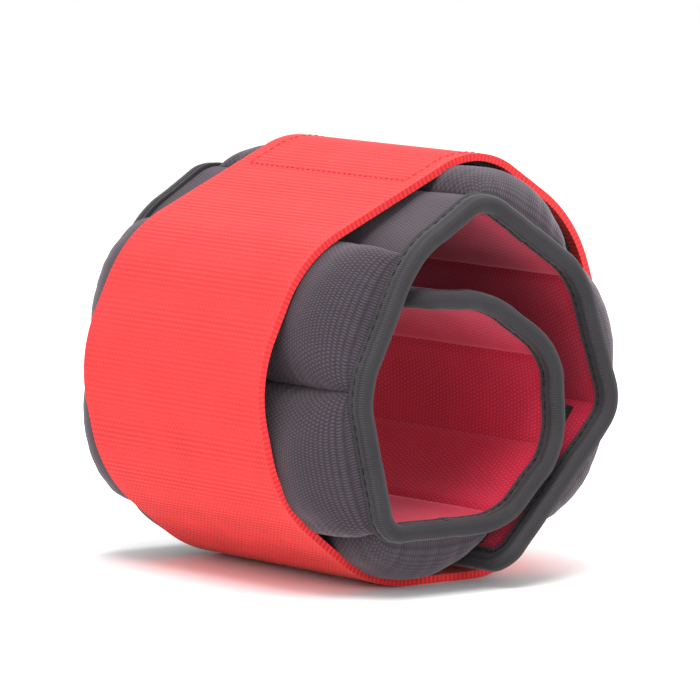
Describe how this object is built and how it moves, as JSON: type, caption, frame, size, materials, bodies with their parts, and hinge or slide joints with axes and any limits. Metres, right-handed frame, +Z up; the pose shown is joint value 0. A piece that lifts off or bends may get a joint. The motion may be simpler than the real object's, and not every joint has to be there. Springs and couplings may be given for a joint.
{
  "type": "ankle cuff weight",
  "caption": "Wrap-on ankle cuff weight: iron-filled pockets in a soft panel curled round the ankle, with an inner tongue, a flap and a wide elastic strap with a hook tab.",
  "frame": {"origin": "middle of the underside, where the wrapped strap lies on the floor, cuff on its side", "axes": "+Y along the ankle from the near rim to the far rim, +Z up, +X towards the first pocket and the flap"},
  "size_m": [0.1366, 0.14, 0.1294],
  "materials": {
    "cover_fabric": "matt fine-knit neoprene laminate, charcoal",
    "binding_tape": "folded stretch tape, black, with black stitching",
    "lining_fabric": "soft brushed knit, crimson",
    "strap_elastic": "ribbed knitted elastic, bright red",
    "hook_tape": "moulded hook tape, black",
    "pouch_film": "plain film",
    "iron_fill": "loose iron shot"
  },
  "bodies": {
    "pocket_1": {"pocket_1_cover": "cover_fabric", "pocket_1_lining": "lining_fabric", "pocket_1_binding": "binding_tape", "pocket_1_pouch": "pouch_film", "pocket_1_fill": "iron_fill", "flap_hook_patch": "hook_tape", "strap_anchor": "strap_elastic"},
    "pocket_2": {"pocket_2_cover": "cover_fabric", "pocket_2_lining": "lining_fabric", "pocket_2_binding": "binding_tape", "pocket_2_pouch": "pouch_film", "pocket_2_fill": "iron_fill"},
    "pocket_3": {"pocket_3_cover": "cover_fabric", "pocket_3_lining": "lining_fabric", "pocket_3_binding": "binding_tape", "pocket_3_pouch": "pouch_film", "pocket_3_fill": "iron_fill"},
    "flex": {"flex_cover": "cover_fabric", "flex_lining": "lining_fabric", "flex_binding": "binding_tape"},
    "pocket_4": {"pocket_4_cover": "cover_fabric", "pocket_4_lining": "lining_fabric", "pocket_4_binding": "binding_tape", "pocket_4_pouch": "pouch_film", "pocket_4_fill": "iron_fill"},
    "pocket_5": {"pocket_5_cover": "cover_fabric", "pocket_5_lining": "lining_fabric", "pocket_5_binding": "binding_tape", "pocket_5_pouch": "pouch_film", "pocket_5_fill": "iron_fill"},
    "pocket_6": {"pocket_6_cover": "cover_fabric", "pocket_6_lining": "lining_fabric", "pocket_6_binding": "binding_tape", "pocket_6_pouch": "pouch_film", "pocket_6_fill": "iron_fill"},
    "tongue_1": {"tongue_1_cover": "cover_fabric", "tongue_1_lining": "lining_fabric", "tongue_1_binding": "binding_tape"},
    "tongue_2": {"tongue_2_cover": "cover_fabric", "tongue_2_lining": "lining_fabric", "tongue_2_binding": "binding_tape"},
    "tongue_3": {"tongue_3_cover": "cover_fabric", "tongue_3_lining": "lining_fabric", "tongue_3_binding": "binding_tape"},
    "tongue_4": {"tongue_4_cover": "cover_fabric", "tongue_4_lining": "lining_fabric", "tongue_4_binding": "binding_tape"},
    "strap_1": {"strap_1": "strap_elastic"},
    "strap_2": {"strap_2": "strap_elastic"},
    "strap_3": {"strap_3": "strap_elastic"},
    "strap_4": {"strap_4": "strap_elastic"},
    "strap_5": {"strap_5": "strap_elastic", "tab_hook_patch_1": "hook_tape"},
    "strap_6": {"strap_6": "strap_elastic", "tab_hook_patch_2": "hook_tape"},
    "strap_tab": {"strap_tab": "strap_elastic", "tab_hook_patch_3": "hook_tape"}
  },
  "joints": [
    {"name": "curl_5", "type": "hinge", "parent": "pocket_6", "child": "pocket_5", "pos_m": [-0.03806, 0, 0.0195], "axis": [0, -1, 0], "range_deg": [0, 46.2]},
    {"name": "curl_4", "type": "hinge", "parent": "pocket_5", "child": "pocket_4", "pos_m": [-0.04774, 0, 0.0614], "axis": [0, -1, 0], "range_deg": [0, 23.4]},
    {"name": "curl_flex", "type": "hinge", "parent": "pocket_4", "child": "flex", "pos_m": [-0.02889, 0, 0.10005], "axis": [0, -1, 0], "range_deg": [0, 19.8]},
    {"name": "curl_3", "type": "hinge", "parent": "flex", "child": "pocket_3", "pos_m": [-0.00231, 0, 0.11601], "axis": [0, -1, 0], "range_deg": [0, 39]},
    {"name": "curl_2", "type": "hinge", "parent": "pocket_3", "child": "pocket_2", "pos_m": [0.03333, 0, 0.09197], "axis": [0, -1, 0], "range_deg": [0, 22.8]},
    {"name": "curl_1", "type": "hinge", "parent": "pocket_2", "child": "pocket_1", "pos_m": [0.04662, 0, 0.05107], "axis": [0, -1, 0], "range_deg": [0, 36.6]},
    {"name": "curl_tongue_1", "type": "hinge", "parent": "pocket_6", "child": "tongue_1", "pos_m": [0.00494, 0, 0.0195], "axis": [0, 1, 0], "range_deg": [0, 27]},
    {"name": "curl_tongue_2", "type": "hinge", "parent": "tongue_1", "child": "tongue_2", "pos_m": [0.02544, 0, 0.04001], "axis": [0, 1, 0], "range_deg": [0, 28.8]},
    {"name": "curl_tongue_3", "type": "hinge", "parent": "tongue_2", "child": "tongue_3", "pos_m": [0.02392, 0, 0.06897], "axis": [0, 1, 0], "range_deg": [0, 31.2]},
    {"name": "curl_tongue_4", "type": "hinge", "parent": "tongue_3", "child": "tongue_4", "pos_m": [0.00017, 0, 0.0856], "axis": [0, 1, 0], "range_deg": [0, 18.6]},
    {"name": "unwind_1", "type": "hinge", "parent": "pocket_1", "child": "strap_1", "pos_m": [0.02566, 0, 0], "axis": [0, -1, 0], "range_deg": [0, 47]},
    {"name": "unwind_2", "type": "hinge", "parent": "strap_1", "child": "strap_2", "pos_m": [-0.02573, 0, 0], "axis": [0, -1, 0], "range_deg": [0, 38.5]},
    {"name": "unwind_3", "type": "hinge", "parent": "strap_2", "child": "strap_3", "pos_m": [-0.05984, 0, 0.02713], "axis": [0, -1, 0], "range_deg": [0, 38.5]},
    {"name": "unwind_4", "type": "hinge", "parent": "strap_3", "child": "strap_4", "pos_m": [-0.06829, 0, 0.06374], "axis": [0, -1, 0], "range_deg": [0, 39]},
    {"name": "unwind_5", "type": "hinge", "parent": "strap_4", "child": "strap_5", "pos_m": [-0.05081, 0, 0.09959], "axis": [0, -1, 0], "range_deg": [0, 39.53]},
    {"name": "unwind_6", "type": "hinge", "parent": "strap_5", "child": "strap_6", "pos_m": [0.0149, 0, 0.12949], "axis": [0, -1, 0], "range_deg": [0, 58.47]},
    {"name": "tab_peel", "type": "hinge", "parent": "strap_6", "child": "strap_tab", "pos_m": [0.0509, 0, 0.10521], "axis": [0, -1, 0], "range_deg": [0, 75]}
  ],
  "couplings": [
    {"joint": "curl_4", "follows": "curl_5", "ratio": 0.50649},
    {"joint": "curl_flex", "follows": "curl_5", "ratio": 0.42857},
    {"joint": "curl_3", "follows": "curl_5", "ratio": 0.84416},
    {"joint": "curl_2", "follows": "curl_5", "ratio": 0.49351},
    {"joint": "curl_1", "follows": "curl_5", "ratio": 0.79221},
    {"joint": "curl_tongue_1", "follows": "curl_5", "ratio": 0.58442},
    {"joint": "curl_tongue_2", "follows": "curl_5", "ratio": 0.62338},
    {"joint": "curl_tongue_3", "follows": "curl_5", "ratio": 0.67532},
    {"joint": "curl_tongue_4", "follows": "curl_5", "ratio": 0.4026},
    {"joint": "unwind_1", "follows": "curl_5", "ratio": 1.0173},
    {"joint": "unwind_2", "follows": "curl_5", "ratio": 0.83333},
    {"joint": "unwind_3", "follows": "curl_5", "ratio": 0.83333},
    {"joint": "unwind_4", "follows": "curl_5", "ratio": 0.84416},
    {"joint": "unwind_5", "follows": "curl_5", "ratio": 0.8556},
    {"joint": "unwind_6", "follows": "curl_5", "ratio": 1.2656}
  ]
}
